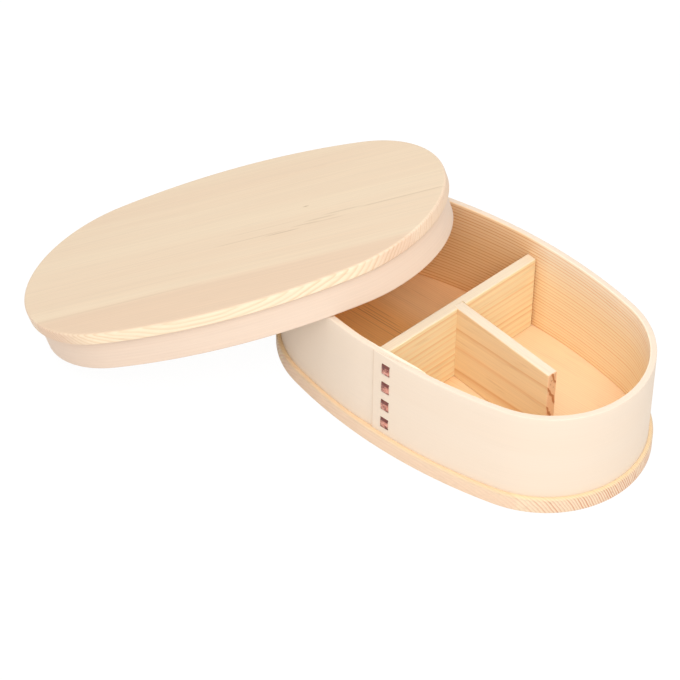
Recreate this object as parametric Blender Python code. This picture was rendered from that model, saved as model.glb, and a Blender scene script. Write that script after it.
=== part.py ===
"""Bentwood lunch box: a lapped and laced oval band on a routed base board, two lift-out dividers that slot
together as a T, and a lid of the same make that leans from the table onto the rim. Metres, +Z up, the origin
at the centre of the base board's underside, +X along the box, and the laced side facing -Y."""

import math

import bmesh
import bpy
from mathutils import Matrix, Vector

MM = 0.001

# The oval of the body band's outside: two end arcs joined by two long side arcs.
WALL_HALF_LENGTH = 90.5 * MM
WALL_HALF_WIDTH = 51.5 * MM
SIDE_RADIUS = 228.8 * MM
RIM_HEIGHT = 52.3 * MM
WALL = 2.9 * MM

# Base board, with the pocket that the band stands in.
BASE_EDGE = 7.8 * MM
BASE_FLOOR = 4.2 * MM
BASE_OVERHANG = 2.0 * MM

# Lid, whose band slips over the body band.
LID_CLEARANCE = 1.3 * MM
LID_DEPTH = 15.1 * MM
LID_BOARD = 5.7 * MM
LID_POCKET = 2.5 * MM
LID_OVERHANG = 2.9 * MM

# How the lid lies: turned against the box, its middle past the box's left end and forward of its long axis.
LID_YAW = math.radians(40.7)
LID_PAST_END = 3.8 * MM
LID_FORWARD = 34.8 * MM

# Lap of a band: the outer end stops left of the lacing, and both ends are pared thin.
LAP_LEFT = 7.0 * MM
LAP_LENGTH = 26.0 * MM
BODY_TAPER = 20.0 * MM
LID_TAPER = 26.0 * MM
FEATHER = 0.4 * MM
GLUE_LINE = 0.2 * MM
LAP_RAMP = 12.0 * MM

# Bark lace, seen outside as a column of squares between a margin below and one above.
LACE_WIDTH = 4.0 * MM
LACE = 0.55 * MM
LACE_PROUD = 0.2 * MM
BODY_SQUARE = 5.6 * MM
BODY_PITCH = 10.0 * MM
BODY_LOW = 6.4 * MM
BODY_HIGH = 7.5 * MM
BODY_TAIL = 3.4 * MM
LID_SQUARE = 4.4 * MM
LID_PITCH = 7.2 * MM
LID_LOW = 4.0 * MM
LID_HIGH = 3.7 * MM
LID_TAIL = 1.6 * MM

# Dividers: the cross one spans the box, the centre one is let into its groove.
DIVIDER = 5.0 * MM
DIVIDER_DROP = 8.5 * MM
DIVIDER_PLAY = 0.9 * MM
CROSS_X = -5.85 * MM
CROSS_SKEW = math.radians(-5.4)
CENTRE_LENGTH = 58.0 * MM
CENTRE_SKEW = math.radians(-7.1)
GROOVE_Y = 1.85 * MM
GROOVE_DEPTH = 2.0 * MM

# Small sizes shared by the pieces.
GAP = 0.3 * MM
EASE = 0.6 * MM
RIM_ROUND = 0.5 * MM
EDGE_ROUND = 1.1 * MM

# Fineness: the length of a facet round the oval, the facets of a rounded edge, and where shading breaks.
FACET = 4.0 * MM
ROUND_STEPS = 3
SHARP_ANGLE = math.radians(35)
REST_SAMPLES = 1600
REST_ROUNDS = 40

# End arcs of the oval, which meet the side arcs without a corner.
END_RADIUS = (2 * SIDE_RADIUS * WALL_HALF_WIDTH - WALL_HALF_LENGTH**2 - WALL_HALF_WIDTH**2) / (
    2 * (SIDE_RADIUS - WALL_HALF_LENGTH)
)
END_CENTRE = WALL_HALF_LENGTH - END_RADIUS
SIDE_CENTRE = SIDE_RADIUS - WALL_HALF_WIDTH
SIDE_HALF_ANGLE = math.atan2(END_CENTRE, SIDE_CENTRE)
SIDE_HALF_ARC = SIDE_RADIUS * SIDE_HALF_ANGLE
END_ARC = END_RADIUS * (math.pi - 2 * SIDE_HALF_ANGLE)
AROUND = 4 * SIDE_HALF_ARC + 2 * END_ARC

LID_OUTSIDE = LID_CLEARANCE + WALL
LID_CENTRE = Vector((-WALL_HALF_LENGTH - LID_PAST_END, -LID_FORWARD))


def clear_scene():
    for thing in list(bpy.data.objects):
        bpy.data.objects.remove(thing, do_unlink=True)


def material(name, colour, roughness):
    made = bpy.data.materials.new(name)
    made.use_nodes = True
    shader = made.node_tree.nodes["Principled BSDF"]
    shader.inputs["Base Color"].default_value = (*colour, 1.0)
    shader.inputs["Roughness"].default_value = roughness
    shader.inputs["Metallic"].default_value = 0.0
    return made


def group(name, pieces, placed):
    """An empty that carries the pieces of one body."""
    carrier = bpy.data.objects.new(name, None)
    bpy.context.scene.collection.objects.link(carrier)
    carrier.matrix_world = placed
    for piece in pieces:
        piece.parent = carrier


def oval_point(along, outward):
    """A point of the oval, the way along it from the middle of the -Y side and then outward from it."""
    along %= AROUND
    half_turn = along >= AROUND / 2
    along -= AROUND / 2 if half_turn else 0
    if along < SIDE_HALF_ARC:
        centre, radius = Vector((0, SIDE_CENTRE)), SIDE_RADIUS
        angle = -math.pi / 2 + along / SIDE_RADIUS
    elif along < SIDE_HALF_ARC + END_ARC:
        centre, radius = Vector((END_CENTRE, 0)), END_RADIUS
        angle = -math.pi / 2 + SIDE_HALF_ANGLE + (along - SIDE_HALF_ARC) / END_RADIUS
    else:
        centre, radius = Vector((0, -SIDE_CENTRE)), SIDE_RADIUS
        angle = math.pi / 2 - (AROUND / 2 - along) / SIDE_RADIUS
    point = centre + (radius + outward) * Vector((math.cos(angle), math.sin(angle)))
    return -point if half_turn else point


def outside_oval(point):
    """How far a point in plan lies outside the body band's outer face, negative inside it."""
    x, y = abs(point.x), abs(point.y)
    if math.atan2(x, y + SIDE_CENTRE) < SIDE_HALF_ANGLE:
        return math.hypot(x, y + SIDE_CENTRE) - SIDE_RADIUS
    return math.hypot(x - END_CENTRE, y) - END_RADIUS


def new_object(name, mesh, surface):
    bmesh.ops.recalc_face_normals(mesh, faces=mesh.faces)
    data = bpy.data.meshes.new(name)
    mesh.to_mesh(data)
    mesh.free()
    data.materials.append(surface)
    data.shade_smooth()
    data.set_sharp_from_angle(angle=SHARP_ANGLE)
    made = bpy.data.objects.new(name, data)
    bpy.context.scene.collection.objects.link(made)
    return made


def loft(name, sections, surface):
    """A solid through sections of equal point count, with the first and last as its end faces."""
    mesh = bmesh.new()
    rings = [[mesh.verts.new(point) for point in section] for section in sections]
    for ring, following in zip(rings, rings[1:]):
        for i in range(len(ring)):
            j = (i + 1) % len(ring)
            mesh.faces.new((ring[i], ring[j], following[j], following[i]))
    mesh.faces.new(rings[0])
    mesh.faces.new(reversed(rings[-1]))
    return new_object(name, mesh, surface)


def quarter_round(radius):
    """Pairs of inset and drop along a quarter round, from the top face to the side face."""
    angles = [math.pi / 2 * i / ROUND_STEPS for i in range(ROUND_STEPS + 1)]
    return [(radius * (1 - math.sin(a)), radius * (1 - math.cos(a))) for a in angles]


def board(name, outline, pocket, high, floor, round_low, round_high, surface):
    """An oval board routed on its upper side: its low face, eased edge, lip and pocket floor."""
    levels = [(outline - inset, drop) for inset, drop in quarter_round(round_low)]
    levels += [(outline - inset, high - drop) for inset, drop in reversed(quarter_round(round_high))]
    levels += [(pocket, high), (pocket, floor)]
    count = round(AROUND / FACET)
    sections = []
    for outward, z in levels:
        ring = [oval_point(AROUND * i / count, outward) for i in range(count)]
        sections.append([(point.x, point.y, z) for point in ring])
    return loft(name, sections, surface)


def eased(share):
    share = min(max(share, 0.0), 1.0)
    return share * share * (3 - 2 * share)


def pared(distance, taper):
    """Thickness of a strip so far from a pared end."""
    return FEATHER + (WALL - FEATHER) * min(distance / taper, 1.0)


def strip_at(along, taper):
    """Inset of a band's outer face and its thickness, the way along the strip from its outer end."""
    under = along - AROUND
    if under <= 0:
        return (FEATHER + GLUE_LINE) * eased(1 + under / LAP_RAMP), pared(along, taper)
    return pared(under, taper) + GLUE_LINE, pared(LAP_LENGTH - under, taper)


def strip_section(thick, low, high):
    """Depth and height round a strip's section, whose four corners are broken twice."""
    corner = min(RIM_ROUND, thick / 3)
    knee = corner * (1 - math.sqrt(0.5))
    outer = [(knee, low + knee), (0, low + corner), (0, high - corner), (knee, high - knee)]
    top = [(corner, high), (thick - corner, high)]
    inner = [(thick - knee, high - knee), (thick, high - corner)]
    inner += [(thick, low + corner), (thick - knee, low + knee)]
    foot = [(thick - corner, low), (corner, low)]
    return outer + top + inner + foot


def band(name, outward, low, high, taper, surface):
    """One strip bent right round the oval, its inner end lying under its pared outer end."""
    stops = [0.0, AROUND, AROUND + LAP_LENGTH]
    stations = [0.0]
    for start, end in zip(stops, stops[1:]):
        steps = math.ceil((end - start) / FACET)
        stations += [start + (end - start) * (i + 1) / steps for i in range(steps)]
    sections = []
    for along in stations:
        inset, thick = strip_at(along, taper)
        section = []
        for depth, z in strip_section(thick, low, high):
            point = oval_point(along - LAP_LEFT, outward - inset - depth)
            section.append((point.x, point.y, z))
        sections.append(section)
    return loft(name, sections, surface)


def lace_route(lowest, highest, square, pitch, tail, taper):
    """Middle line of a lace, as depth behind the band's outer face and height, from its lower tail up."""
    under_inset, under_thick = strip_at(AROUND + LAP_LEFT, taper)
    seen = LACE / 2 - LACE_PROUD
    hidden = under_inset + under_thick + LACE_PROUD - LACE / 2
    half = (square - LACE) / 2
    spaces = max(math.floor((highest - lowest) / pitch), 1)
    route = [(hidden, lowest - half - tail)]
    for i in range(spaces + 1):
        low = lowest + (highest - lowest) * i / spaces - half
        high = low + 2 * half
        route += [(hidden, low), (seen, low), (seen, high), (hidden, high)]
    route.append((hidden, highest + half + tail))
    return route


def ribbon(name, route, outside_y, thick, width, longer, surface):
    """A flat strip of square bends, standing in the plane across the band at x = 0."""
    points = [Vector(point) for point in route]
    points[0].y -= longer
    points[-1].y += longer
    half = width / 2
    sections = []
    for i, point in enumerate(points):
        before = (point - points[i - 1]).normalized() if i else (points[1] - point).normalized()
        after = (points[i + 1] - point).normalized() if i + 1 < len(points) else before
        side = Vector((-before.y - after.y, before.x + after.x))
        side *= thick / side.length_squared
        near, far = point + side, point - side
        section = [(-half, near), (half, near), (half, far), (-half, far)]
        sections.append([(x, outside_y + corner.x, corner.y) for x, corner in section])
    return loft(name, sections, surface)


def cut(target, cutter):
    cutter.hide_render = True
    cutter.display_type = "WIRE"
    boolean = target.modifiers.new("cut_" + cutter.name, "BOOLEAN")
    boolean.operation = "DIFFERENCE"
    boolean.solver = "EXACT"
    boolean.object = cutter


def laced(target, name, route, outside_y, surface):
    """The lace, and the slits and seats that a slightly larger copy of it cuts in the band."""
    lace = ribbon(name, route, outside_y, LACE, LACE_WIDTH, 0.0, surface)
    way = ribbon(name + "_way", route, outside_y, LACE + 2 * GAP, LACE_WIDTH + 2 * GAP, GAP, surface)
    cut(target, way)
    return lace, way


def block(name, low, high, ease, surface):
    """A board between two corners, with its edges eased."""
    mesh = bmesh.new()
    bmesh.ops.create_cube(mesh, size=1.0)
    for corner in mesh.verts:
        corner.co = [low[k] + (corner.co[k] + 0.5) * (high[k] - low[k]) for k in range(3)]
    if ease:
        bmesh.ops.bevel(mesh, geom=mesh.edges[:], offset=ease, segments=2, profile=0.5, affect="EDGES")
    return new_object(name, mesh, surface)


def rest_of_lid():
    """Where the lid lies: its low end on the table, and its band's edge on both sides of the rim."""
    turn = Matrix.Rotation(LID_YAW, 3, "Z")
    foot = []
    for outward in (LID_OUTSIDE - RIM_ROUND, LID_OUTSIDE - WALL + RIM_ROUND):
        for i in range(REST_SAMPLES):
            foot.append(turn @ oval_point(AROUND * i / REST_SAMPLES, outward).to_3d())
    upright = Vector((0, 0, 1))
    height = RIM_HEIGHT / 2
    up = Vector((-height, 0, WALL_HALF_LENGTH)).normalized()
    for _ in range(REST_ROUNDS):
        lean = upright.rotation_difference(up).to_matrix()
        middle = Vector((*LID_CENTRE, height))
        placed = [lean @ point + middle for point in foot]
        rim = [point for point in placed if RIM_ROUND < -outside_oval(point) < WALL - RIM_ROUND]
        table = min(placed, key=lambda point: point.z)
        near = min((point for point in rim if point.y < 0), key=lambda point: point.z)
        far = min((point for point in rim if point.y > 0), key=lambda point: point.z)
        table = Vector((table.x, table.y, GAP))
        near = Vector((near.x, near.y, RIM_HEIGHT + GAP))
        far = Vector((far.x, far.y, RIM_HEIGHT + GAP))
        up = (near - table).cross(far - table).normalized()
        up *= math.copysign(1.0, up.z)
        height = table.z - (up.xy @ (LID_CENTRE - table.xy)) / up.z
    lean = upright.rotation_difference(up).to_matrix()
    return Matrix.Translation((*LID_CENTRE, height)) @ (lean @ turn).to_4x4()


def make_box():
    board_wood = material("base_board_wood", (0.86, 0.60, 0.36), 0.55)
    band_wood = material("body_band_wood", (0.90, 0.74, 0.56), 0.50)
    bark = material("body_lace_bark", (0.25, 0.06, 0.04), 0.35)
    foot = board("base_board", BASE_OVERHANG, GAP, BASE_EDGE, BASE_FLOOR, EASE, EDGE_ROUND, board_wood)
    strip = band("body_band", 0.0, BASE_FLOOR + GAP, RIM_HEIGHT, BODY_TAPER, band_wood)
    lowest, highest = BASE_EDGE + BODY_LOW, RIM_HEIGHT - BODY_HIGH
    route = lace_route(lowest, highest, BODY_SQUARE, BODY_PITCH, BODY_TAIL, BODY_TAPER)
    lace, way = laced(strip, "body_lace", route, -WALL_HALF_WIDTH, bark)
    group("box", (foot, strip, lace, way), Matrix.Identity(4))


def make_dividers():
    cross_wood = material("cross_divider_wood", (0.88, 0.62, 0.35), 0.50)
    centre_wood = material("centre_divider_wood", (0.82, 0.53, 0.29), 0.50)
    floor, top = BASE_FLOOR + GAP, RIM_HEIGHT - DIVIDER_DROP
    half_span = WALL_HALF_WIDTH - WALL - DIVIDER_PLAY
    half = DIVIDER / 2
    cross = block("cross_divider", (-half, -half_span, floor), (half, half_span, top), EASE, cross_wood)
    groove_floor = half - GROOVE_DEPTH
    groove_low = (groove_floor, GROOVE_Y - half - GAP, floor - DIVIDER)
    groove_high = (DIVIDER, GROOVE_Y + half + GAP, top + DIVIDER)
    groove = block("cross_groove", groove_low, groove_high, 0.0, cross_wood)
    cut(cross, groove)
    lap_shift = (FEATHER + GLUE_LINE) / 2
    stand = Matrix.Translation((CROSS_X, lap_shift, 0)) @ Matrix.Rotation(CROSS_SKEW, 4, "Z")
    cross.matrix_world = stand
    groove.matrix_world = stand
    centre = block("centre_divider", (0, -half, floor), (CENTRE_LENGTH, half, top), EASE, centre_wood)
    start = stand @ Vector((groove_floor + GAP, GROOVE_Y, 0))
    centre.matrix_world = Matrix.Translation(start) @ Matrix.Rotation(CENTRE_SKEW, 4, "Z")


def make_lid():
    """Made upside down, the band's edge uppermost, and then turned over and laid on the box."""
    board_wood = material("lid_board_wood", (0.87, 0.70, 0.49), 0.55)
    band_wood = material("lid_band_wood", (0.95, 0.76, 0.60), 0.50)
    bark = material("lid_lace_bark", (0.25, 0.06, 0.04), 0.35)
    edge = LID_BOARD + LID_DEPTH
    floor = LID_BOARD - LID_POCKET
    outline = LID_OUTSIDE + LID_OVERHANG
    plate = board("lid_board", outline, LID_OUTSIDE + GAP, LID_BOARD, floor, EDGE_ROUND, EASE, board_wood)
    strip = band("lid_band", LID_OUTSIDE, floor + GAP, edge, LID_TAPER, band_wood)
    route = lace_route(LID_BOARD + LID_HIGH, edge - LID_LOW, LID_SQUARE, LID_PITCH, LID_TAIL, LID_TAPER)
    lace, way = laced(strip, "lid_lace", route, -WALL_HALF_WIDTH - LID_OUTSIDE, bark)
    turned_over = Matrix.Translation((0, 0, edge)) @ Matrix.Rotation(math.pi, 4, "X")
    group("lid", (plate, strip, lace, way), rest_of_lid() @ turned_over)


clear_scene()
make_box()
make_dividers()
make_lid()
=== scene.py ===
"""Looks of the bentwood lunch box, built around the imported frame."""

import math

import bmesh
import bpy
from mathutils import Euler, Matrix, Vector


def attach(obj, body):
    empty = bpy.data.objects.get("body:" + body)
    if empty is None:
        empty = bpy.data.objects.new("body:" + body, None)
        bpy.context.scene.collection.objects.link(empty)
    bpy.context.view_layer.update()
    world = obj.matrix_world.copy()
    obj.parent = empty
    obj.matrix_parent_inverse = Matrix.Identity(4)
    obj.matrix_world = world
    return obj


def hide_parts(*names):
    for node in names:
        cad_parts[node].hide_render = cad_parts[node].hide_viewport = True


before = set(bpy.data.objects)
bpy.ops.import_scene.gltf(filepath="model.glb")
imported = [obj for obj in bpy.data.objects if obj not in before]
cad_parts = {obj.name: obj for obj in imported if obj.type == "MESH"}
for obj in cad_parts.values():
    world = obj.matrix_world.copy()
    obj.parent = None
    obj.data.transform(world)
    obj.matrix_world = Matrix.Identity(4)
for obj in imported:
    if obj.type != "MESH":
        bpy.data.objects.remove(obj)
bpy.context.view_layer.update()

# The camera stands in front and to the right, looking down into the open box.
# Its place, turn and focal length come from the edges of base, rim and lid in the photograph.
MM = 0.001
camera = bpy.data.objects.new("camera", bpy.data.cameras.new("camera"))
bpy.context.scene.collection.objects.link(camera)
camera.location = Vector((569.84, -733.24, 871.22)) * MM
camera.rotation_euler = [math.radians(angle) for angle in (47.6577, -0.5141, 41.5965)]
camera.data.sensor_width = 36.0
camera.data.lens = 153.85
bpy.context.scene.camera = camera

# The base board is a planed softwood board, sawn to an oval and routed on its upper side.
# The pocket takes the body band, and its floor is the floor of the box; the edge is eased by hand.
SIDE_RADIUS = 228.8 * MM
END_RADIUS = 46.0 * MM
END_CENTRE = 44.5 * MM
HALF_WIDTH = 51.5 * MM
SIDE_CENTRE = SIDE_RADIUS - HALF_WIDTH
SIDE_HALF_ANGLE = math.atan2(END_CENTRE, SIDE_CENTRE)
SIDE_HALF = SIDE_RADIUS * SIDE_HALF_ANGLE
END_ARC = END_RADIUS * (math.pi - 2 * SIDE_HALF_ANGLE)
AROUND = 4 * SIDE_HALF + 2 * END_ARC
GLUE_LINE = 0.05 * MM
FEATHER = 0.4 * MM
LAP_LEFT = 7.0 * MM
RAMP = 12.0 * MM
LAP_GAP = 0.01 * MM
LAP_EDGE = AROUND - LAP_LEFT - 2 * LAP_GAP
STEPS = 360
STATIONS = [AROUND * step / STEPS for step in range(STEPS)]
STATIONS = sorted(STATIONS + [LAP_EDGE - LAP_GAP, LAP_EDGE + LAP_GAP])
SHARP = math.radians(32)


def oval_point(along, outward):
    """A point of the oval, along it from the front middle, the given way outside the band's outer face."""
    turned = along >= AROUND / 2
    along -= AROUND / 2 if turned else 0.0
    if along < SIDE_HALF:
        centre, radius = Vector((0, SIDE_CENTRE)), SIDE_RADIUS
        angle = -math.pi / 2 + along / SIDE_RADIUS
    elif along < SIDE_HALF + END_ARC:
        centre, radius = Vector((END_CENTRE, 0)), END_RADIUS
        angle = -math.pi / 2 + SIDE_HALF_ANGLE + (along - SIDE_HALF) / END_RADIUS
    else:
        centre, radius = Vector((0, -SIDE_CENTRE)), SIDE_RADIUS
        angle = math.pi / 2 - (AROUND / 2 - along) / SIDE_RADIUS
    point = centre + (radius + outward) * Vector((math.cos(angle), math.sin(angle)))
    return -point if turned else point


def lap_step(along):
    """How far the band's outer face steps in before it slips under its own outer end."""
    share = 1 - (LAP_EDGE - along) / RAMP
    return (FEATHER + GLUE_LINE) * share * share * (3 - 2 * share) if 0 < share < 1 else 0.0


def finished(name, mesh, place=Matrix.Identity(4), sharp=SHARP):
    """A piece from a bmesh, with its place in its mesh, shaded smooth but for sharp edges."""
    bmesh.ops.recalc_face_normals(mesh, faces=mesh.faces)
    data = bpy.data.meshes.new(name)
    mesh.to_mesh(data)
    mesh.free()
    data.transform(place)
    data.shade_smooth()
    data.set_sharp_from_angle(angle=sharp)
    piece = bpy.data.objects.new(name, data)
    bpy.context.scene.collection.objects.link(piece)
    return piece


def skin(mesh, rings, capped=True):
    """Joins each ring of points to the next with faces, and closes the first and the last."""
    for ring, following in zip(rings, rings[1:]):
        for i, vertex in enumerate(ring):
            j = (i + 1) % len(ring)
            mesh.faces.new((vertex, ring[j], following[j], following[i]))
    if capped:
        mesh.faces.new(rings[0])
        mesh.faces.new(reversed(rings[-1]))


def rounding(radius, steps=6):
    """A rounded edge from its flat to its wall, as steps in from the wall and down from the flat."""
    angles = [math.pi / 2 * step / steps for step in range(steps + 1)]
    return [(radius * (1 - math.sin(angle)), radius * (1 - math.cos(angle))) for angle in angles]


def routed_board(name, outline, pocket, high, floor, round_low, round_high, place=Matrix.Identity(4)):
    """An oval board with eased edges, and a pocket in its upper side that fits the lapped band."""
    flat_rim = 0.5 * MM
    levels = [(outline - round_low - flat_rim, 0.0)]
    levels += [(outline - inset, drop) for inset, drop in rounding(round_low)]
    levels += [(outline - inset, high - drop) for inset, drop in reversed(rounding(round_high))]
    mesh = bmesh.new()
    rings = []
    for outward, z in levels:
        points = [oval_point(along, outward) for along in STATIONS]
        rings.append([mesh.verts.new((point.x, point.y, z)) for point in points])
    points = [oval_point(along, pocket - lap_step(along)) for along in STATIONS]
    for z in (high, floor):
        rings.append([mesh.verts.new((point.x, point.y, z)) for point in points])
    skin(mesh, rings)
    return finished(name, mesh, place)


def feed(tree, socket, value):
    """Links a socket's value, or sets it."""
    if isinstance(value, bpy.types.NodeSocket):
        tree.links.new(value, socket)
    else:
        socket.default_value = value


def node(tree, kind, inputs, **settings):
    """Adds a node with its settings and inputs."""
    made = tree.nodes.new(kind)
    for key, value in settings.items():
        setattr(made, key, value)
    for key, value in inputs.items():
        feed(tree, made.inputs[key], value)
    return made


def calc(tree, operation, *values):
    """Adds a Math node and gives its result."""
    made = tree.nodes.new("ShaderNodeMath")
    made.operation = operation
    for socket, value in zip(made.inputs, values):
        feed(tree, socket, value)
    return made.outputs[0]


def blended(tree, share, first, second, blend="MIX"):
    """Adds a Mix node for colours and gives its result."""
    mix = node(tree, "ShaderNodeMix", {}, data_type="RGBA", blend_type=blend)
    for key, value in ((0, share), (6, first), (7, second)):
        feed(tree, mix.inputs[key], value)
    return mix.outputs[2]


def softwood(
    name,
    grain,
    early,
    late,
    heart,
    ring,
    pith,
    contrast,
    other=None,
    thick=None,
    season=(0.35, 0.84),
    waver=1.5 * MM,
    fuzz=1.0,
    heart_from=None,
    curl=0.0,
    ends=None,
    painted_height_shade=None,
    painted_compartment_shade=None,
    marks=(),
    seed=0.0,
):
    """Planed softwood as a solid pattern: growth rings round a pith line that runs along the grain.

    grain says where the wood's own coordinates come from, with X along the grain. For a bent strip it is an
    attribute's name; contrast is then of the outer and inner face, and other the inner face's tone. For a
    board it is a place and turn; contrast is then of its ends, sides and top, other the top's tone and ends
    the early and late tones of its end grain.

    ring is a year's growth, season the share of it where late wood starts and peaks, and pith the place of
    the log's middle across the grain and upwards. waver and curl make the rings wander, fuzz is the strength
    of fibres and flecks, and heart_from says where the heartwood starts and is full, across the grain.
    painted_height_shade is two heights and a tint for painted shade, which fades in between them and is full
    past
    the second: lower down on a strip's inner face, below its lit top, and on a board's ledge beside the
    band.
    painted_compartment_shade is a start and end along the grain, a side, a top and a tint, for painted shade
    and
    warm bounce light on a face there, darker and more golden, with bolder rings. Each of marks is a dark
    line:
    its place across, start, end, half width and strength.
    """
    surface = bpy.data.materials.new(name)
    surface.use_nodes = True
    tree = surface.node_tree
    shader = tree.nodes["Principled BSDF"]

    def run(operation, *values):
        return calc(tree, operation, *values)

    def graded(value, start, end, low=0.0, high=1.0):
        limits = {"Value": value, "From Min": start, "From Max": end, "To Min": low, "To Max": high}
        return node(tree, "ShaderNodeMapRange", limits).outputs[0]

    def streaks(scale, stretch, detail, offset):
        drawn = {"X": run("MULTIPLY_ADD", along, stretch, seed + offset), "Y": across, "Z": deep}
        drawn = node(tree, "ShaderNodeCombineXYZ", drawn).outputs[0]
        drawn = {"Vector": drawn, "Scale": scale, "Detail": detail}
        return node(tree, "ShaderNodeTexNoise", drawn).outputs["Fac"]

    if isinstance(grain, str):
        place = node(tree, "ShaderNodeAttribute", {}, attribute_name=grain).outputs["Vector"]
        along, across, deep = node(tree, "ShaderNodeSeparateXYZ", {"Vector": place}).outputs
        turned = graded(across, 0.75 * thick, 0.97 * thick)
        strength = run("MULTIPLY_ADD", turned, contrast[1] - contrast[0], contrast[0])
    else:
        given = node(tree, "ShaderNodeTexCoord", {}).outputs
        turn = {"Vector": given["Object"], "Location": grain[0], "Rotation": grain[1]}
        place = node(tree, "ShaderNodeMapping", turn, vector_type="TEXTURE").outputs[0]
        along, across, deep = node(tree, "ShaderNodeSeparateXYZ", {"Vector": place}).outputs
        turn = {"Vector": given["Normal"], "Rotation": grain[1]}
        facing = node(tree, "ShaderNodeMapping", turn, vector_type="TEXTURE").outputs[0]
        facing = node(tree, "ShaderNodeSeparateXYZ", {"Vector": facing}).outputs
        shares = [run("MULTIPLY", way, way) for way in facing]
        turned = shares[2]
        strength = run("MULTIPLY", shares[0], contrast[0])
        strength = run("MULTIPLY_ADD", shares[1], contrast[1], strength)
        strength = run("MULTIPLY_ADD", shares[2], contrast[2], strength)

    # Painted shade: in the given stretch the face is tinted darker and more golden and its rings drawn
    # bolder, for the shade and warm bounce light in the compartment under the lid.
    if painted_compartment_shade:
        fade = 14 * MM
        fade_up = 1 * MM
        start, end, side, top, compartment_shade_tint = painted_compartment_shade
        compartment_shaded = run("MULTIPLY", turned, graded(along, start, start + fade))
        compartment_shaded = run("MULTIPLY", compartment_shaded, graded(along, end, end - fade))
        compartment_shaded = run("MULTIPLY", compartment_shaded, graded(across, side + fade, side, 0.5, 1.0))
        compartment_shaded = run("MULTIPLY", compartment_shaded, graded(deep, top + fade_up, top))
        strength = run("MULTIPLY", strength, run("ADD", compartment_shaded, 1.0))
    bend = run("SUBTRACT", streaks(28.0, 0.22, 1.0, 0.3), 0.5)
    ripple = run("SUBTRACT", streaks(260.0, 0.05, 1.0, 0.7), 0.5)
    side = run("SUBTRACT", run("MULTIPLY_ADD", bend, 4 * waver, across), pith[0])
    height = run("SUBTRACT", run("MULTIPLY_ADD", bend, -3 * waver, deep), pith[1])
    if curl:
        height = run("MULTIPLY_ADD", run("SUBTRACT", streaks(42.0, 0.8, 1.0, 5.5), 0.5), curl, height)
    radius = run("SQRT", run("ADD", run("MULTIPLY", side, side), run("MULTIPLY", height, height)))
    count = run("MULTIPLY_ADD", ripple, 0.5, run("DIVIDE", radius, ring))
    ramp = node(tree, "ShaderNodeValToRGB", {"Fac": run("FRACT", count)})
    ramp.color_ramp.elements[0].position = season[0]
    ramp.color_ramp.elements[0].color = (0, 0, 0, 1)
    ramp.color_ramp.elements[1].position = season[1]
    ramp.color_ramp.elements[1].color = (1, 1, 1, 1)
    ramp.color_ramp.elements.new(1.0).color = (0, 0, 0, 1)
    yearly = node(tree, "ShaderNodeTexWhiteNoise", {"W": run("FLOOR", count)}, noise_dimensions="1D")
    vigour = run("MULTIPLY_ADD", yearly.outputs["Value"], 0.7, 0.45)
    lateness = run("MULTIPLY", ramp.outputs["Color"], vigour)
    lateness = run("MULTIPLY", lateness, run("MULTIPLY_ADD", streaks(45.0, 0.12, 2.0, 1.9), 1.2, 0.35))
    lateness = run("MULTIPLY", lateness, strength)
    fibre = streaks(1900.0, 0.012, 3.0, 4.1)
    warmth = run("MULTIPLY", graded(streaks(60.0, 0.06, 3.0, 7.7), 0.38, 0.68), 0.5)
    if heart_from is not None:
        edge_waver = 2 * MM
        edge = run("MULTIPLY_ADD", bend, edge_waver, across)
        warmth = run("MAXIMUM", warmth, graded(edge, *heart_from))
    tint = blended(tree, turned, (*early, 1), (*(other or early), 1))
    if ends:
        end_from = 0.06
        end_full = 0.3
        end_share = graded(shares[0], end_from, end_full)
        tint = blended(tree, end_share, tint, (*ends[0], 1))
    # Painted shade of the compartment under the lid, as a darker golden tint.
    if painted_compartment_shade:
        tint = blended(tree, compartment_shaded, tint, (*compartment_shade_tint, 1), "MULTIPLY")
    # Painted shade by height: the tint fades in between the two heights, darker below the lit top of a
    # strip's inner face and on a board's ledge beside the band.
    if painted_height_shade:
        painted_shade_share = graded(deep, painted_height_shade[0], painted_height_shade[1])
        if thick:
            painted_shade_share = run("MULTIPLY", painted_shade_share, turned)
        tint = blended(tree, painted_shade_share, tint, (*painted_height_shade[2], 1), "MULTIPLY")
    tint = blended(tree, warmth, tint, (*heart, 1), "MULTIPLY")
    darker = (*late, 1)
    if ends:
        darker = blended(tree, end_share, darker, (*ends[1], 1))
    tint = blended(tree, lateness, tint, darker)
    fleck = run("MULTIPLY", graded(streaks(620.0, 0.11, 0.0, 9.3), 0.7, 0.82), fuzz)
    fleck = run("MULTIPLY", fleck, run("MULTIPLY_ADD", strength, 0.2, 0.03))
    if thick:
        cut_end = 0.4 * MM
        fleck = run("MAXIMUM", fleck, graded(along, cut_end, cut_end / 2, 0.0, 0.25))
    mark_fade = 5 * MM
    mark_waver = 3 * MM
    for y, start, end, wide, dark in marks:
        fade = min(mark_fade, (end - start) / 2)
        off = run("SUBTRACT", run("MULTIPLY_ADD", bend, mark_waver, across), y)
        off = run("ABSOLUTE", off)
        length = run("MULTIPLY", graded(along, start, start + fade), graded(along, end, end - fade))
        fleck = run("MULTIPLY_ADD", run("MULTIPLY", graded(off, wide, 0.0), length), dark, fleck)
    fleck_shade = 0.6
    tint = blended(tree, fleck, tint, (*[part * fleck_shade for part in late], 1))
    dusk = graded(fibre, 0.25, 0.75, 1 - 0.07 * fuzz, 1 + 0.04 * fuzz)
    shade = {key: dusk for key in ("Red", "Green", "Blue")}
    shade = node(tree, "ShaderNodeCombineColor", shade).outputs[0]
    feed(tree, shader.inputs["Base Color"], blended(tree, 1.0, tint, shade, "MULTIPLY"))
    rough = run("MULTIPLY_ADD", fibre, 0.18, run("MULTIPLY_ADD", lateness, -0.1, 0.46))
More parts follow.
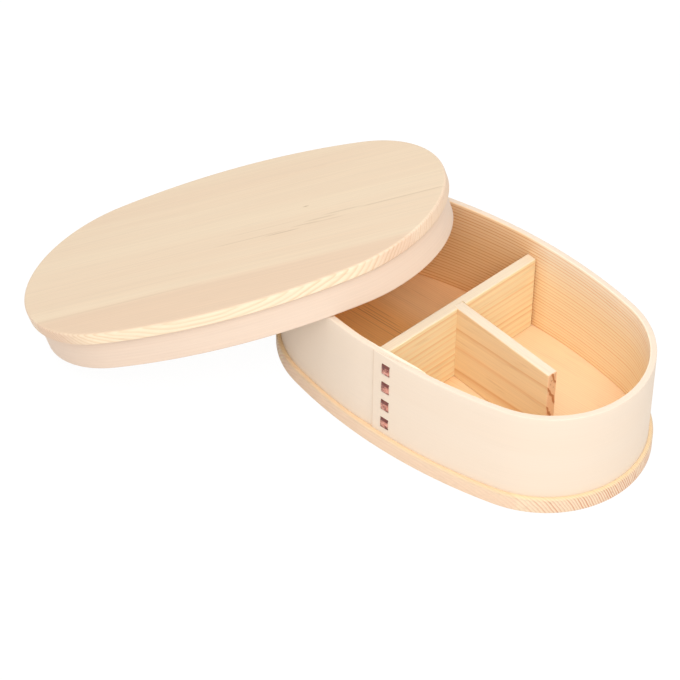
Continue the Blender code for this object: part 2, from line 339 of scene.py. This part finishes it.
    feed(tree, shader.inputs["Roughness"], rough)
    relief = run("MULTIPLY_ADD", lateness, 0.5, run("MULTIPLY", fibre, 0.6))
    bump = node(tree, "ShaderNodeBump", {"Height": relief, "Strength": 0.25, "Distance": 0.08 * MM})
    feed(tree, shader.inputs["Normal"], bump.outputs[0])
    shader.inputs["Specular IOR Level"].default_value = 0.35
    return surface


FLOOR = 4.2 * MM
base_board = routed_board(
    "base_board_wood",
    outline=2.0 * MM,
    pocket=GLUE_LINE,
    high=7.8 * MM,
    floor=FLOOR,
    round_low=0.6 * MM,
    round_high=1.1 * MM,
)
base_board.data.materials.append(
    softwood(
        "base_softwood",
        grain=((0, 0, 0), (0, 0, 0)),
        early=(0.86, 0.69, 0.49),
        late=(0.64, 0.27, 0.14),
        heart=(0.98, 0.91, 0.92),
        other=(0.985, 0.74, 0.465),
        ring=1.05 * MM,
        pith=(-136 * MM, -48 * MM),
        contrast=(1.5, 0.1, 0.16),
        heart_from=(-42.5 * MM, -43.5 * MM),
        # Painted shade on the ledge beside the band, above 6.3 mm.
        painted_height_shade=(6.3 * MM, 7.2 * MM, (0.89, 0.91, 0.88)),
        # Painted shade: the floor left of the cross divider, under the lid, darker and more golden, most
        # towards the front.
        painted_compartment_shade=(-120 * MM, 2 * MM, 9 * MM, FLOOR, (1.0, 0.73, 0.42)),
        marks=(
            (1.5 * MM, -74 * MM, -36 * MM, 0.35 * MM, 0.4),
            (4.6 * MM, -68 * MM, -30 * MM, 0.45 * MM, 0.5),
            (5.9 * MM, -64 * MM, -34 * MM, 0.3 * MM, 0.5),
            (7.6 * MM, -66 * MM, -40 * MM, 0.4 * MM, 0.5),
            (9.8 * MM, -72 * MM, -46 * MM, 0.4 * MM, 0.5),
        ),
        seed=2.0,
    )
)
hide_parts("base_board")
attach(base_board, "base")

# The body band is one thin strip of softwood, planed flat, pared at both ends, steamed and bent round.
# Its outer end lies over its inner end on the front, where slits are cut through both for the lacing.
WALL = 2.9 * MM
INNER_FEATHER = 0.08 * MM
LAP_LENGTH = 26.0 * MM


def flat_strip(name, low, high, step=2.0 * MM):
    """The strip before it is bent: X along it, Y its thickness as a share, Z its height."""
    corner = 0.5 * MM
    seat_corner = 0.1 * MM
    outer = [(inset / WALL, drop) for inset, drop in rounding(corner, 4)]
    seated = [(inset / WALL, drop) for inset, drop in rounding(seat_corner, 4)]
    rows = 12
    rise = high - low - 2 * corner
    face = [low + corner + rise * row / rows for row in range(1, rows)]
    section = [(inset, high - drop) for inset, drop in outer]
    section += [(0.0, z) for z in reversed(face)]
    section += [(inset, low + drop) for inset, drop in reversed(seated)]
    section += [(1 - inset, low + drop) for inset, drop in seated]
    section += [(1.0, z) for z in face]
    section += [(1 - inset, high - drop) for inset, drop in reversed(outer)]
    total = AROUND + LAP_LENGTH
    count = round(total / step)
    mesh = bmesh.new()
    rings = []
    for station in range(count + 1):
        x = total * station / count
        rings.append([mesh.verts.new((x, share, z)) for share, z in section])
    skin(mesh, rings)
    return finished(name, mesh)


def bending_form():
    """Geometry Nodes that pare a flat strip's ends and bend it round the oval, over its own inner end."""
    tree = bpy.data.node_groups.new("bending_form", "GeometryNodeTree")
    sizes = ("Outward", "Taper", "Wall", "Feather", "Inner feather", "Glue line")
    sizes += ("Lap left", "Lap length", "Ramp")
    sizes += ("Side radius", "Side centre", "End radius", "End centre", "Side half angle")
    tree.interface.new_socket("Strip", in_out="INPUT", socket_type="NodeSocketGeometry")
    tree.interface.new_socket("Finish", in_out="INPUT", socket_type="NodeSocketMaterial")
    for size in sizes:
        tree.interface.new_socket(size, in_out="INPUT", socket_type="NodeSocketFloat")
    tree.interface.new_socket("Band", in_out="OUTPUT", socket_type="NodeSocketGeometry")
    given = tree.nodes.new("NodeGroupInput").outputs

    def run(operation, *values):
        return calc(tree, operation, *values)

    def either(flag, yes, no):
        return run("MULTIPLY_ADD", flag, run("SUBTRACT", yes, no), no)

    def pared(distance, feather="Feather"):
        share = run("MINIMUM", run("DIVIDE", distance, given["Taper"]), 1.0)
        return run("MULTIPLY_ADD", share, run("SUBTRACT", given["Wall"], given[feather]), given[feather])

    flat = node(tree, "GeometryNodeInputPosition", {})
    split = node(tree, "ShaderNodeSeparateXYZ", {"Vector": flat.outputs[0]})
    along, share, z = split.outputs
    side_half = run("MULTIPLY", given["Side radius"], given["Side half angle"])
    end_turn = run("MULTIPLY_ADD", given["Side half angle"], -2.0, math.pi)
    end_arc = run("MULTIPLY", given["End radius"], end_turn)
    around = run("MULTIPLY_ADD", side_half, 4.0, run("MULTIPLY", end_arc, 2.0))
    under = run("SUBTRACT", along, around)
    past = run("GREATER_THAN", under, 0.0)
    step_in = run("ADD", given["Feather"], given["Glue line"])
    ramp_start = run("MULTIPLY", given["Ramp"], -1.0)
    eased = {"Value": under, "From Min": ramp_start, "From Max": 0.0, "To Max": step_in}
    ramp = node(tree, "ShaderNodeMapRange", eased, interpolation_type="SMOOTHSTEP").outputs[0]
    inset = either(past, run("ADD", pared(under), given["Glue line"]), ramp)
    inner_end = pared(run("SUBTRACT", given["Lap length"], under), "Inner feather")
    thick = either(past, inner_end, pared(along))
    outward = run("SUBTRACT", run("SUBTRACT", given["Outward"], inset), run("MULTIPLY", share, thick))
    path = run("SUBTRACT", along, given["Lap left"])
    side_turn = run("MULTIPLY", given["Side half angle"], 2.0)
    angle = run("SUBTRACT", -math.pi / 2, given["Side half angle"])
    start = run("MULTIPLY", side_half, -1.0)
    side_arc = run("MULTIPLY", side_half, 2.0)
    for length, turn in ((side_arc, side_turn), (end_arc, end_turn)) * 2 + ((side_arc, side_turn),):
        end = run("ADD", start, length)
        swept = {"Value": path, "From Min": start, "From Max": end, "To Max": turn}
        angle = run("ADD", angle, node(tree, "ShaderNodeMapRange", swept).outputs[0])
        start = end
    cosine = run("COSINE", angle)
    sine = run("SINE", angle)
    on_side = run("GREATER_THAN", run("ABSOLUTE", sine), run("COSINE", given["Side half angle"]))
    reach = run("ADD", either(on_side, given["Side radius"], given["End radius"]), outward)
    end_x = run("MULTIPLY", run("SIGN", cosine), given["End centre"])
    side_y = run("MULTIPLY", run("SIGN", sine), run("MULTIPLY", given["Side centre"], -1.0))
    x = run("MULTIPLY_ADD", reach, cosine, either(on_side, 0.0, end_x))
    y = run("MULTIPLY_ADD", reach, sine, either(on_side, side_y, 0.0))
    bent = node(tree, "ShaderNodeCombineXYZ", {"X": x, "Y": y, "Z": z})
    depth = run("SUBTRACT", given["Outward"], outward)
    wood = node(tree, "ShaderNodeCombineXYZ", {"X": along, "Y": depth, "Z": z})
    kept = {"Geometry": given["Strip"], "Name": "strip", "Value": wood.outputs[0]}
    stored = node(tree, "GeometryNodeStoreNamedAttribute", kept, data_type="FLOAT_VECTOR", domain="POINT")
    moved = {"Geometry": stored.outputs[0], "Position": bent.outputs[0]}
    moved = node(tree, "GeometryNodeSetPosition", moved)
    real = node(tree, "GeometryNodeRealizeInstances", {"Geometry": moved.outputs[0]})
    coated = {"Geometry": real.outputs[0], "Material": given["Finish"]}
    coated = node(tree, "GeometryNodeSetMaterial", coated)
    tree.links.new(coated.outputs[0], tree.nodes.new("NodeGroupOutput").inputs[0])
    return tree


def baked(piece):
    """The piece with its modifiers turned into its plain mesh."""
    graph = bpy.context.evaluated_depsgraph_get()
    mesh = bpy.data.meshes.new_from_object(
        piece.evaluated_get(graph),
        preserve_all_data_layers=True,
        depsgraph=graph,
    )
    piece.modifiers.clear()
    piece.data = mesh
    return piece


def through(piece, tree, values):
    """Runs a piece through a Geometry Nodes tree and keeps the result as its plain mesh."""
    modifier = piece.modifiers.new(tree.name, "NODES")
    modifier.node_group = tree
    for socket in tree.interface.items_tree:
        if socket.name in values:
            modifier[socket.identifier] = values[socket.name]
    return baked(piece)


def slit_flat(strip, squares):
    """Cuts the slits that the lace passes through, two to each square, in both ends of the flat strip."""
    slit_length = 4.4 * MM
    slit_height = 0.9 * MM
    right_through = 3.0
    slit = Matrix.Diagonal((slit_length, right_through, slit_height, 1))
    mesh = bmesh.new()
    for x in (LAP_LEFT, LAP_LEFT + AROUND):
        for z in [edge for square in squares for edge in square]:
            bmesh.ops.create_cube(mesh, size=1.0, matrix=Matrix.Translation((x, 0.5, z)) @ slit)
    cutter = finished(strip.name + "_slits", mesh)
    boolean = strip.modifiers.new("slits", "BOOLEAN")
    boolean.object = cutter
    boolean.solver = "EXACT"
    baked(strip)
    bpy.data.objects.remove(cutter)


def bent_band(name, low, high, outward, taper, squares, finish):
    """A band from a flat strip: slit for its lace, pared over the taper's length and bent round the oval."""
    band = flat_strip(name, low, high)
    slit_flat(band, squares)
    form = {
        "Finish": finish,
        "Outward": outward,
        "Taper": taper,
        "Wall": WALL,
        "Feather": FEATHER,
        "Inner feather": INNER_FEATHER,
        "Glue line": GLUE_LINE,
        "Lap left": LAP_LEFT,
        "Lap length": LAP_LENGTH,
        "Ramp": RAMP,
        "Side radius": SIDE_RADIUS,
        "Side centre": SIDE_CENTRE,
        "End radius": END_RADIUS,
        "End centre": END_CENTRE,
        "Side half angle": SIDE_HALF_ANGLE,
    }
    through(band, bending, form)
    band.data.shade_smooth()
    band.data.set_sharp_from_angle(angle=SHARP)
    return band


bending = bending_form()
BODY_RIM = 52.3 * MM
BODY_PITCH = 10.2 * MM
BODY_REACH = 2.5 * MM
BODY_FIRST = 14.2 * MM
BODY_SQUARES = 4
body_middles = [BODY_FIRST + BODY_PITCH * count for count in range(BODY_SQUARES)]
body_squares = [(middle - BODY_REACH, middle + BODY_REACH) for middle in body_middles]
body_finish = softwood(
    "body_band_softwood",
    grain="strip",
    early=(0.835, 0.695, 0.557),
    late=(0.80, 0.42, 0.17),
    heart=(1.0, 0.97, 0.94),
    other=(0.985, 0.86, 0.68),
    thick=WALL,
    ring=1.7 * MM,
    pith=(40 * MM, 260 * MM),
    contrast=(0.015, 0.95),
    # Painted shade: the inner face darker below its lit top, from 50 mm down to 32 mm and below.
    painted_height_shade=(50 * MM, 32 * MM, (1.0, 0.942, 0.79)),
    # Painted shade: the inner face left of the cross divider, under the lid, darker and more golden.
    painted_compartment_shade=(AROUND / 2 + LAP_LEFT - 8 * MM, AROUND, WALL, BODY_RIM, (1.0, 0.81, 0.62)),
    fuzz=0.28,
    season=(0.56, 0.86),
    waver=0.8 * MM,
    seed=5.0,
)
body_band = bent_band(
    "body_band_wood",
    low=FLOOR + GLUE_LINE,
    high=BODY_RIM,
    outward=0.0,
    taper=20 * MM,
    squares=body_squares,
    finish=body_finish,
)
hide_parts("body_band")
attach(body_band, "base")

# The body lace is one strip of tree bark, woven out and in through the slits up the lap.
# Each time it lies outside it shows as a glossy square, and its ends are tucked along the inner wall.


def stitch(name, pitch, reach, deep, width=4.0 * MM, thick=0.5 * MM):
    """One turn of the lace, from the middle of a hidden run to the middle of the next, open at both ends."""
    proud = 0.1 * MM
    crown = 0.12 * MM
    chamfer = 0.15 * MM
    inner_bend = 0.5 * MM
    outer_bend = 0.4 * MM
    bends = 3
    line = [(deep, -pitch / 2), (deep, -reach - inner_bend)]
    for step in range(1, bends + 1):
        turn = math.pi / 2 * step / bends
        depth = deep - inner_bend + inner_bend * math.cos(turn)
        line.append((depth, -reach - inner_bend + inner_bend * math.sin(turn)))
    line += [(deep * 0.5, -reach)]
    for step in range(bends + 1):
        turn = math.pi / 2 * step / bends
        depth = outer_bend - outer_bend * math.sin(turn) - proud
        line.append((depth, -reach + outer_bend - outer_bend * math.cos(turn)))
    shown = 2 * (reach - outer_bend)
    crests = 5
    for step in range(1, crests + 1):
        share = step / (crests + 1)
        line.append((-proud - crown * math.sin(math.pi * share), -reach + outer_bend + shown * share))
    line += [(depth, -z) for depth, z in reversed(line[:-crests])]
    side = width / 2
    inner = side - chamfer
    section = [(-inner, 1.0), (0.0, 1.12), (inner, 1.0), (side, 0.3), (side, -0.3)]
    section += [(inner, -1.0), (-inner, -1.0), (-side, -0.3), (-side, 0.3)]
    mesh = bmesh.new()
    rings = []
    for i, point in enumerate(line):
        before = Vector(point) - Vector(line[i - 1]) if i else Vector((0, 1))
        after = Vector(line[i + 1]) - Vector(point) if i + 1 < len(line) else Vector((0, 1))
        way = (before.normalized() + after.normalized()).normalized()
        out = Vector((-way.y, way.x)) * thick / 2
        ring = []
        for x, share in section:
            corner = Vector(point) + out * share
            ring.append(mesh.verts.new((x, corner.x, corner.y)))
        rings.append(ring)
    skin(mesh, rings, capped=False)
    return finished(name, mesh, sharp=math.radians(50))


def weaving():
    """Geometry Nodes that repeat a stitch up the lap and join the turns into one lace."""
    tree = bpy.data.node_groups.new("weaving", "GeometryNodeTree")
    tree.interface.new_socket("Stitch", in_out="INPUT", socket_type="NodeSocketGeometry")
    tree.interface.new_socket("Finish", in_out="INPUT", socket_type="NodeSocketMaterial")
    tree.interface.new_socket("Squares", in_out="INPUT", socket_type="NodeSocketInt")
    tree.interface.new_socket("First", in_out="INPUT", socket_type="NodeSocketVector")
    tree.interface.new_socket("Pitch", in_out="INPUT", socket_type="NodeSocketVector")
    tree.interface.new_socket("Lace", in_out="OUTPUT", socket_type="NodeSocketGeometry")
    given = tree.nodes.new("NodeGroupInput").outputs
    column = {"Count": given["Squares"], "Start Location": given["First"], "Offset": given["Pitch"]}
    line = node(tree, "GeometryNodeMeshLine", column, mode="OFFSET")
    placed = {"Points": line.outputs[0], "Instance": given["Stitch"]}
    repeated = node(tree, "GeometryNodeInstanceOnPoints", placed)
    real = node(tree, "GeometryNodeRealizeInstances", {"Geometry": repeated.outputs[0]})
    weld = 0.01 * MM
    joined = {"Geometry": real.outputs[0], "Distance": weld}
    joined = node(tree, "GeometryNodeMergeByDistance", joined)
    coated = {"Geometry": joined.outputs[0], "Material": given["Finish"]}
    coated = node(tree, "GeometryNodeSetMaterial", coated)
    tree.links.new(coated.outputs[0], tree.nodes.new("NodeGroupOutput").inputs[0])
    return tree


def bark(name, grain, first, pitch, reach):
    """Glossy red-brown bark, darker in blotches, with painted shade where it bends into the slits."""
    surface = bpy.data.materials.new(name)
    surface.use_nodes = True
    tree = surface.node_tree
    shader = tree.nodes["Principled BSDF"]
    place = node(tree, "ShaderNodeTexCoord", {}).outputs["Object"]
    turned = {"Vector": place, "Location": grain[0], "Rotation": grain[1]}
    place = node(tree, "ShaderNodeMapping", turned, vector_type="TEXTURE").outputs[0]
    up = node(tree, "ShaderNodeSeparateXYZ", {"Vector": place}).outputs["Z"]
    turns = calc(tree, "DIVIDE", calc(tree, "SUBTRACT", up, first - pitch / 2), pitch)
    offset = calc(tree, "MULTIPLY_ADD", calc(tree, "FRACT", turns), pitch, -pitch / 2)
    blotch = {"Vector": place, "Scale": 520.0, "Detail": 4.0, "Roughness": 0.6}
    blotch = node(tree, "ShaderNodeTexNoise", blotch).outputs["Fac"]
    ramp = node(tree, "ShaderNodeValToRGB", {"Fac": blotch})
    ramp.color_ramp.elements[0].position = 0.4
    ramp.color_ramp.elements[0].color = (0.15, 0.030, 0.022, 1)
    ramp.color_ramp.elements[1].position = 0.52
    ramp.color_ramp.elements[1].color = (0.62, 0.24, 0.17, 1)
    ramp.color_ramp.elements.new(0.66).color = (0.78, 0.42, 0.34, 1)
    # Painted shade: each square's upper and lower edges, where the lace dips into its slits, are tinted
    # nearly black.
    ragged = 1.2 * MM
    offset = calc(tree, "SUBTRACT", offset, ragged / 2)
    offset = calc(tree, "MULTIPLY_ADD", blotch, ragged, offset)
    upper = {"Value": offset, "From Min": 0.45 * reach, "From Max": 0.62 * reach}
    upper = node(tree, "ShaderNodeMapRange", upper).outputs[0]
    lower = {"Value": offset, "From Min": -0.8 * reach, "From Max": -0.95 * reach}
    lower = node(tree, "ShaderNodeMapRange", lower).outputs[0]
    painted_shade_share = calc(tree, "MULTIPLY", calc(tree, "MAXIMUM", upper, lower), 0.9)
    tint = blended(tree, painted_shade_share, ramp.outputs["Color"], (0.13, 0.022, 0.016, 1))
    feed(tree, shader.inputs["Base Color"], tint)
    rough = calc(tree, "MULTIPLY_ADD", blotch, -0.25, 0.5)
    feed(tree, shader.inputs["Roughness"], rough)
    bump = node(tree, "ShaderNodeBump", {"Height": blotch, "Strength": 0.4, "Distance": 0.15 * MM})
    feed(tree, shader.inputs["Normal"], bump.outputs[0])
    return surface


def woven_lace(name, pitch, reach, deep, squares, first, y_out, finish):
    """A whole lace: stitches a pitch apart, joined, with both ends closed."""
    lace = stitch(name, pitch, reach, deep)
    values = {"Finish": finish, "Squares": squares, "First": (0, y_out, first), "Pitch": (0, 0, pitch)}
    through(lace, weave, values)
    mesh = bmesh.new()
    mesh.from_mesh(lace.data)
    bmesh.ops.holes_fill(mesh, edges=[edge for edge in mesh.edges if edge.is_boundary])
    bmesh.ops.recalc_face_normals(mesh, faces=mesh.faces)
    mesh.to_mesh(lace.data)
    mesh.free()
    return lace


weave = weaving()
body_bark = bark("body_bark", ((0, 0, 0), (0, 0, 0)), BODY_FIRST, BODY_PITCH, BODY_REACH)
body_lace = woven_lace(
    "body_lace_bark",
    pitch=BODY_PITCH,
    reach=BODY_REACH,
    deep=4.2 * MM,
    squares=BODY_SQUARES,
    first=BODY_FIRST,
    y_out=-HALF_WIDTH,
    finish=body_bark,
)
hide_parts("body_lace")
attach(body_lace, "base")

# The cross divider is a planed board that spans the box, with an upright groove for the centre divider.
# It stands loose on the floor between the long sides, a little askew, and lifts out.
DIVIDER = 5.0 * MM
DIVIDER_LOW = FLOOR + 0.1 * MM
DIVIDER_HIGH = 43.8 * MM


def divider(name, outline, place, crisp=()):
    """A board of the given plan outline, stood on the floor, its edges eased but for the crisp corners."""
    easing = 0.5 * MM
    border = 0.3 * MM
    least_flat = 50 * MM * MM
    mesh = bmesh.new()
    low = [mesh.verts.new((x, y, DIVIDER_LOW)) for x, y in outline]
    high = [mesh.verts.new((x, y, DIVIDER_HIGH)) for x, y in outline]
    mesh.faces.new(reversed(low))
    mesh.faces.new(high)
    for i, vertex in enumerate(low):
        j = (i + 1) % len(low)
        mesh.faces.new((vertex, low[j], high[j], high[i]))
    sharp = [mesh.edges.get((low[i], high[i])) for i in crisp]
    sharp += [mesh.edges.get((high[i], high[j])) for i, j in zip(crisp, crisp[1:])]
    eased = [edge for edge in mesh.edges if edge not in sharp]
    bmesh.ops.bevel(mesh, geom=eased, offset=easing, segments=3, profile=0.5, affect="EDGES")
    flats = [face for face in mesh.faces if face.calc_area() > least_flat]
    bmesh.ops.inset_individual(mesh, faces=flats, thickness=border)
    return finished(name, mesh, place)


cross_turn = math.radians(-5.4)
cross_foot = Vector((-5.85, 0.3, 0)) * MM
cross_place = Matrix.Translation(cross_foot) @ Matrix.Rotation(cross_turn, 4, "Z")
half = DIVIDER / 2
span = 47.7 * MM
groove_middle = 1.85 * MM
groove_play = 0.08 * MM
groove_near = groove_middle - half - groove_play
groove_far = groove_middle + half + groove_play
groove_floor = half - 2 * MM
cross_outline = [(-half, -span), (half, -span), (half, groove_near), (groove_floor, groove_near)]
cross_outline += [(groove_floor, groove_far), (half, groove_far), (half, span), (-half, span)]
cross_divider = divider("cross_divider_wood", cross_outline, cross_place, crisp=(2, 3, 4, 5))
cross_divider.data.materials.append(
    softwood(
        "cross_softwood",
        grain=(cross_foot, (0, 0, cross_turn + math.pi / 2)),
        early=(0.965, 0.815, 0.525),
        late=(0.86, 0.49, 0.19),
        heart=(1.0, 0.95, 0.92),
        other=(0.87, 0.72, 0.53),
        ring=3.4 * MM,
        pith=(30 * MM, -180 * MM),
        contrast=(0.8, 0.6, 0.1),
        season=(0.4, 0.9),
        waver=0.6 * MM,
        seed=8.0,
    )
)
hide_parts("cross_divider")
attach(cross_divider, "cross_divider")

# The centre divider is a shorter board, slid down into the groove; its other end stands free.
# Its growth rings are wide, so broad bands of late wood run along its faces.
centre_turn = math.radians(-7.1)
centre_length = 58 * MM
centre_play = 0.1 * MM
centre_start = cross_place @ Vector((groove_floor + centre_play, groove_middle, 0))
centre_place = Matrix.Translation(centre_start) @ Matrix.Rotation(centre_turn, 4, "Z")
centre_outline = [(0, -half), (centre_length, -half), (centre_length, half), (0, half)]
centre_divider = divider("centre_divider_wood", centre_outline, centre_place, crisp=(3, 0))
centre_divider.data.materials.append(
    softwood(
        "centre_softwood",
        grain=(centre_start, (0, math.radians(-5), centre_turn)),
        early=(0.965, 0.745, 0.465),
        late=(0.72, 0.35, 0.11),
        heart=(0.99, 0.93, 0.92),
        other=(0.87, 0.735, 0.56),
        ends=((0.89, 0.585, 0.36), (0.52, 0.20, 0.075)),
        ring=4.4 * MM,
        pith=(-186 * MM, -52 * MM),
        contrast=(2.6, 0.6, 0.1),
        season=(0.66, 0.92),
        waver=0.15 * MM,
        seed=11.0,
    )
)
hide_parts("centre_divider")
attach(centre_divider, "centre_divider")

# The lid board is one planed oval board with a pinker strip of heartwood along its front.
# It is routed underneath for the lid band, which is glued in, and its edges are eased by hand.
# It is made pocket up, then turned over and set down leaning, with its low end on the table.
LID_OUTSIDE = 4.2 * MM
LID_OVERHANG = 2.9 * MM
LID_EDGE = 20.8 * MM
LID_POCKET = 3.2 * MM
lid_turn = Euler([math.radians(angle) for angle in (-8.393, -19.254, 42.1261)])
lid_middle = Vector((-94.3, -34.8, 32.7364)) * MM
lid_place = Matrix.Translation(lid_middle) @ lid_turn.to_matrix().to_4x4()
turned_over = Matrix.Translation((0, 0, LID_EDGE)) @ Matrix.Rotation(math.pi, 4, "X")
lid_set_down = lid_place @ turned_over
lid_board = routed_board(
    "lid_board_wood",
    outline=LID_OUTSIDE + LID_OVERHANG,
    pocket=LID_OUTSIDE + GLUE_LINE,
    high=5.7 * MM,
    floor=LID_POCKET,
    round_low=1.1 * MM,
    round_high=0.6 * MM,
    place=lid_set_down,
)
lid_grain = lid_turn.to_matrix() @ Matrix.Rotation(math.radians(-1.9), 3, "Z")
lid_board.data.materials.append(
    softwood(
        "lid_softwood",
        grain=(lid_middle, lid_grain.to_euler()),
        early=(0.965, 0.84, 0.615),
        late=(0.64, 0.38, 0.17),
        heart=(0.957, 0.89, 0.877),
        other=(0.805, 0.65, 0.472),
        ends=((0.84, 0.66, 0.495), (0.64, 0.38, 0.17)),
        ring=1.15 * MM,
        pith=(-136 * MM, 70 * MM),
        contrast=(0.6, 0.5, 0.09),
        fuzz=0.7,
        heart_from=(-31 * MM, -35.5 * MM),
        curl=5.0 * MM,
        marks=(
            (-6.6 * MM, -8 * MM, 27 * MM, 0.7 * MM, 0.18),
            (-7.8 * MM, 15 * MM, 33 * MM, 0.5 * MM, 0.48),
            (-5.6 * MM, 27 * MM, 42 * MM, 0.6 * MM, 0.32),
            (-3.7 * MM, 33 * MM, 50 * MM, 0.7 * MM, 0.32),
            (-1.7 * MM, 41 * MM, 61 * MM, 0.7 * MM, 0.28),
            (-6.2 * MM, 34 * MM, 54 * MM, 0.6 * MM, 0.22),
            (-2.4 * MM, 58 * MM, 99 * MM, 0.6 * MM, 0.34),
            (-0.8 * MM, -2 * MM, 34 * MM, 0.6 * MM, 0.11),
            (9.1 * MM, 31.8 * MM, 35.2 * MM, 0.5 * MM, 0.9),
            (-33.5 * MM, -98 * MM, -10 * MM, 0.9 * MM, 0.1),
        ),
        seed=14.0,
    )
)
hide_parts("lid_board")
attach(lid_board, "lid")

# The lid band is bent and lapped like the body band, a little wider so that it slips over it.
# It is glued into the lid board's pocket, and its lap is on the side away from the camera.
lid_finish = softwood(
    "lid_band_softwood",
    grain="strip",
    early=(0.80, 0.632, 0.50),
    late=(0.68, 0.44, 0.295),
    heart=(1.0, 0.97, 0.96),
    other=(0.97, 0.80, 0.57),
    thick=WALL,
    ring=1.6 * MM,
    pith=(40 * MM, 260 * MM),
    contrast=(0.1, 0.5),
    fuzz=0.6,
    season=(0.5, 0.85),
    waver=0.8 * MM,
    seed=17.0,
)
LID_PITCH = 7.4 * MM
LID_REACH = 1.9 * MM
LID_FIRST = 9.4 * MM
LID_SQUARES = 2
lid_middles = [LID_FIRST + LID_PITCH * count for count in range(LID_SQUARES)]
lid_squares = [(middle - LID_REACH, middle + LID_REACH) for middle in lid_middles]
lid_band = bent_band(
    "lid_band_wood",
    low=LID_POCKET + GLUE_LINE,
    high=LID_EDGE,
    outward=LID_OUTSIDE,
    taper=26 * MM,
    squares=lid_squares,
    finish=lid_finish,
)
lid_band.data.transform(lid_set_down)
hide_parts("lid_band")
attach(lid_band, "lid")

# The lid lace is a strip of the same bark, woven through the lid band's lap in two shorter stitches.
# It is made upright like the body lace, then turned over and set down with the lid.
bark_grain = (lid_set_down.to_translation(), lid_set_down.to_euler())
lid_bark = bark("lid_bark", bark_grain, LID_FIRST, LID_PITCH, LID_REACH)
lid_lace = woven_lace(
    "lid_lace_bark",
    pitch=LID_PITCH,
    reach=LID_REACH,
    deep=3.4 * MM,
    squares=LID_SQUARES,
    first=LID_FIRST,
    y_out=-HALF_WIDTH - LID_OUTSIDE,
    finish=lid_bark,
)
lid_lace.data.transform(lid_set_down)
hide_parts("lid_lace")
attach(lid_lace, "lid")

# The floor is a broad sheet of plain white paper under the box.
# To the camera and in reflections it is nearly all white light, so it keeps only a faint shadow.
floor_reach = 6.0
shown_white = 0.92
floor_mesh = bmesh.new()
bmesh.ops.create_grid(floor_mesh, x_segments=1, y_segments=1, size=floor_reach)
floor = finished("floor", floor_mesh)
paper = bpy.data.materials.new("white_paper")
paper.use_nodes = True
sheet = paper.node_tree
sheet.nodes.clear()
ray = node(sheet, "ShaderNodeLightPath", {})
seen = calc(sheet, "MAXIMUM", ray.outputs["Is Camera Ray"], ray.outputs["Is Glossy Ray"])
matt = node(sheet, "ShaderNodeBsdfDiffuse", {"Color": (0.85, 0.85, 0.85, 1)})
glow = node(sheet, "ShaderNodeEmission", {"Color": (1, 1, 1, 1), "Strength": 1.04})
share = calc(sheet, "MULTIPLY", seen, shown_white)
mix = node(sheet, "ShaderNodeMixShader", {0: share, 1: matt.outputs[0], 2: glow.outputs[0]})
sheet.links.new(mix.outputs[0], node(sheet, "ShaderNodeOutputMaterial", {}).inputs[0])
floor.data.materials.append(paper)

# The room is plain white to the camera and in reflections.
# On the object it is an even fill a little under that.
world = bpy.data.worlds.new("white_room")
bpy.context.scene.world = world
world.use_nodes = True
room = world.node_tree
room.nodes.clear()
ray = node(room, "ShaderNodeLightPath", {})
seen = calc(room, "MAXIMUM", ray.outputs["Is Camera Ray"], ray.outputs["Is Glossy Ray"])
seen = calc(room, "MAXIMUM", seen, ray.outputs["Is Transmission Ray"])
fill = node(room, "ShaderNodeBackground", {"Color": (1, 1, 1, 1), "Strength": 0.78})
white = node(room, "ShaderNodeBackground", {"Color": (1, 1, 1, 1), "Strength": 1.0})
mix = node(room, "ShaderNodeMixShader", {0: seen, 1: fill.outputs[0], 2: white.outputs[0]})
room.links.new(mix.outputs[0], node(room, "ShaderNodeOutputWorld", {}).inputs[0])

# Three large soft lamps stand above the lid, beside the box and near the camera.
# All are turned to the middle of the object.
lamp_aim = Vector((-0.03, 0, 0.03))
for name, place, size, power in (
    ("top", (-0.35, -0.35, 1.75), 1.0, 2.7),
    ("side", (0.55, -0.4, 0.95), 0.65, 5.1),
    ("front", (0.45, -0.75, 0.85), 0.6, 1.8),
):
    lamp = bpy.data.objects.new(name, bpy.data.lights.new(name, "AREA"))
    bpy.context.scene.collection.objects.link(lamp)
    lamp.data.size = size
    lamp.data.energy = power
    lamp.location = place
    lamp.rotation_euler = (lamp_aim - Vector(place)).to_track_quat("-Z", "Y").to_euler()

bpy.context.scene.view_settings.view_transform = "Standard"
